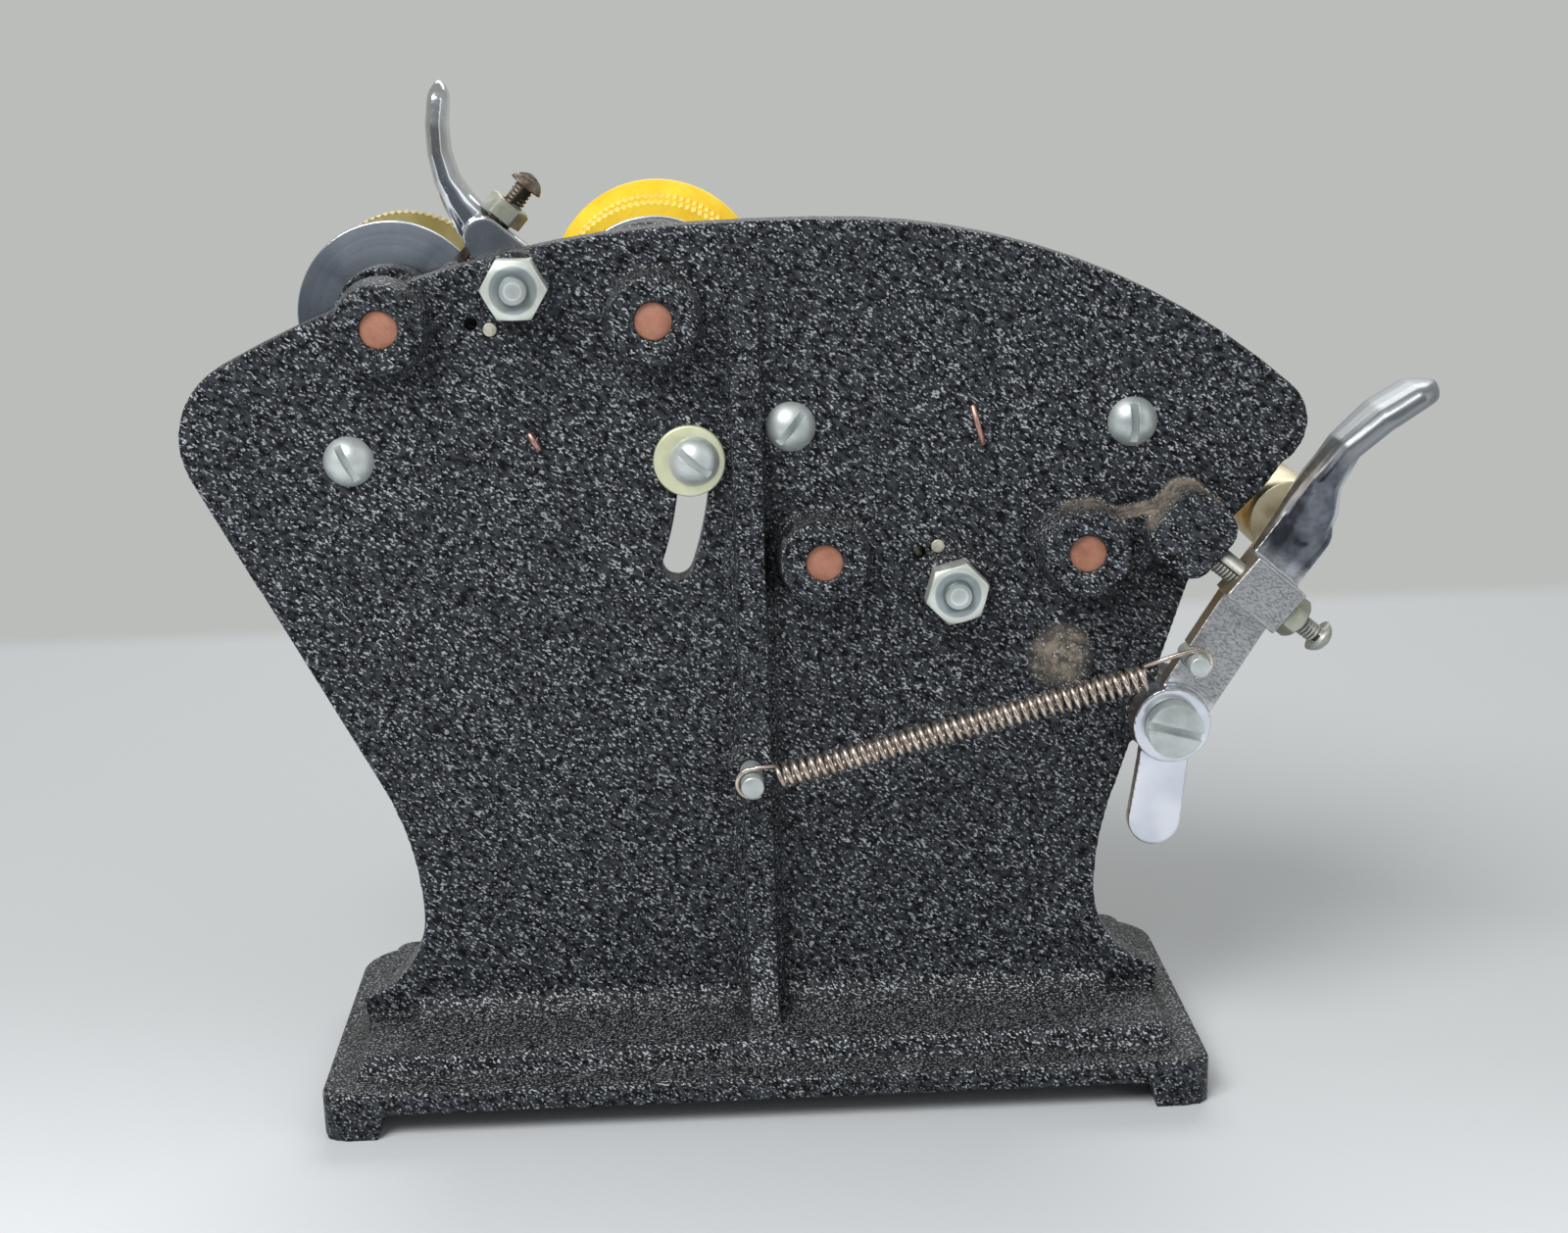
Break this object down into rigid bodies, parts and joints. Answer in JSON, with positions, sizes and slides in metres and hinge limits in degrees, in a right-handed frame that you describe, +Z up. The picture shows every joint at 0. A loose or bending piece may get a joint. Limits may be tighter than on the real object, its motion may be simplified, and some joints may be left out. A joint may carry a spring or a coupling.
{
  "type": "bench strip feed and guide stand",
  "caption": "Black cast bench stand with pairs of feed wheels, guide rails, sprung thumb levers and a sprung side lever that guide a narrow strip.",
  "frame": {"origin": "middle of the footprint of the whole part, on the table", "axes": "+Z up, +X along the plate towards the side lever, +Y towards the wheels"},
  "size_m": [0.2064, 0.072, 0.1724],
  "materials": {
    "black_wrinkle_iron": "black wrinkle enamel",
    "zinc_steel": "zinc plated",
    "browned_steel": "plated, browned with age",
    "sintered_bronze": "matt",
    "chrome": "polished with fine pits",
    "bright_steel": "turned",
    "brass": "turned",
    "yellow_nylon": "satin",
    "yellow_zinc": "yellow zinc",
    "copper": "dull",
    "spring_bronze": "drawn wire"
  },
  "bodies": {
    "stand": {"stand_casting": "black_wrinkle_iron", "stand_base": "black_wrinkle_iron", "axle_1": "sintered_bronze", "axle_2": "sintered_bronze", "axle_3": "sintered_bronze", "axle_4": "sintered_bronze", "axle_screw_1": "zinc_steel", "axle_screw_2": "zinc_steel", "axle_screw_3": "zinc_steel", "axle_screw_4": "zinc_steel", "lever_stud_1": "zinc_steel", "lever_stud_2": "zinc_steel", "lever_nut_1": "zinc_steel", "lever_nut_2": "zinc_steel", "lever_collar_1": "zinc_steel", "lever_collar_2": "zinc_steel", "dowel_1": "zinc_steel", "dowel_2": "zinc_steel", "thumb_spring_1": "spring_bronze", "thumb_spring_2": "spring_bronze", "guide_rail_2": "bright_steel", "rail_screw_2a": "zinc_steel", "rail_screw_2b": "zinc_steel", "wire_guide_1": "copper", "wire_guide_2": "copper", "rib_post": "zinc_steel", "side_pivot_screw": "zinc_steel", "tension_spring": "spring_bronze"},
    "wheel_1": {"flange_1": "chrome", "drum_1": "bright_steel", "brass_disc_1": "brass"},
    "wheel_2": {"flange_2": "chrome", "yellow_wheel_2": "yellow_nylon"},
    "wheel_3": {"flange_3": "chrome", "drum_3": "bright_steel", "brass_disc_3": "brass"},
    "wheel_4": {"flange_4": "chrome", "yellow_wheel_4": "yellow_nylon"},
    "thumb_1": {"thumb_lever_1": "chrome", "presser_arm_1": "bright_steel", "stop_screw_1": "browned_steel", "stop_nut_1": "zinc_steel"},
    "thumb_2": {"thumb_lever_2": "chrome", "presser_arm_2": "bright_steel", "stop_screw_2": "browned_steel", "stop_nut_2": "zinc_steel"},
    "left_rail": {"guide_rail_1": "bright_steel", "rail_screw_1a": "zinc_steel", "rail_screw_1b": "zinc_steel", "slot_washer": "yellow_zinc"},
    "side": {"side_lever": "chrome", "side_stop_screw": "zinc_steel", "side_stop_nut": "zinc_steel", "side_post": "zinc_steel", "roller_pin": "zinc_steel"},
    "roller": {"side_roller": "brass"}
  },
  "joints": [
    {"name": "wheel_1_spin", "type": "hinge", "parent": "stand", "child": "wheel_1", "pos_m": [-0.06839, -0.0135, 0.134], "axis": [0, 1, 0], "continuous": true},
    {"name": "wheel_2_spin", "type": "hinge", "parent": "stand", "child": "wheel_2", "pos_m": [-0.02439, -0.0135, 0.134], "axis": [0, 1, 0], "continuous": true},
    {"name": "wheel_3_spin", "type": "hinge", "parent": "stand", "child": "wheel_3", "pos_m": [0.00241, -0.0135, 0.093], "axis": [0, 1, 0], "continuous": true},
    {"name": "wheel_4_spin", "type": "hinge", "parent": "stand", "child": "wheel_4", "pos_m": [0.04641, -0.0135, 0.093], "axis": [0, 1, 0], "continuous": true},
    {"name": "thumb_1_open", "type": "hinge", "parent": "stand", "child": "thumb_1", "pos_m": [-0.04639, -0.0135, 0.1398], "axis": [0, 1, 0], "range_deg": [0, 25], "stiffness_Nm_per_rad": 0.02, "springref_deg": -57.3, "deforming": ["thumb_spring_1"]},
    {"name": "thumb_2_open", "type": "hinge", "parent": "stand", "child": "thumb_2", "pos_m": [0.02441, -0.0135, 0.0872], "axis": [0, -1, 0], "range_deg": [0, 25], "stiffness_Nm_per_rad": 0.02, "springref_deg": -57.3, "deforming": ["thumb_spring_2"]},
    {"name": "left_rail_tilt", "type": "hinge", "parent": "stand", "child": "left_rail", "pos_m": [-0.07559, -0.0135, 0.1118], "axis": [0, 1, 0], "range_deg": [0, 18]},
    {"name": "side_lever_open", "type": "hinge", "parent": "stand", "child": "side", "pos_m": [0.06031, -0.0135, 0.0636], "axis": [0, 1, 0], "range_deg": [0, 35], "stiffness_Nm_per_rad": 0.05, "springref_deg": -85.94, "deforming": ["tension_spring"]},
    {"name": "roller_spin", "type": "hinge", "parent": "side", "child": "roller", "pos_m": [0.08211, -0.0135, 0.0958], "axis": [0, 1, 0], "continuous": true}
  ]
}
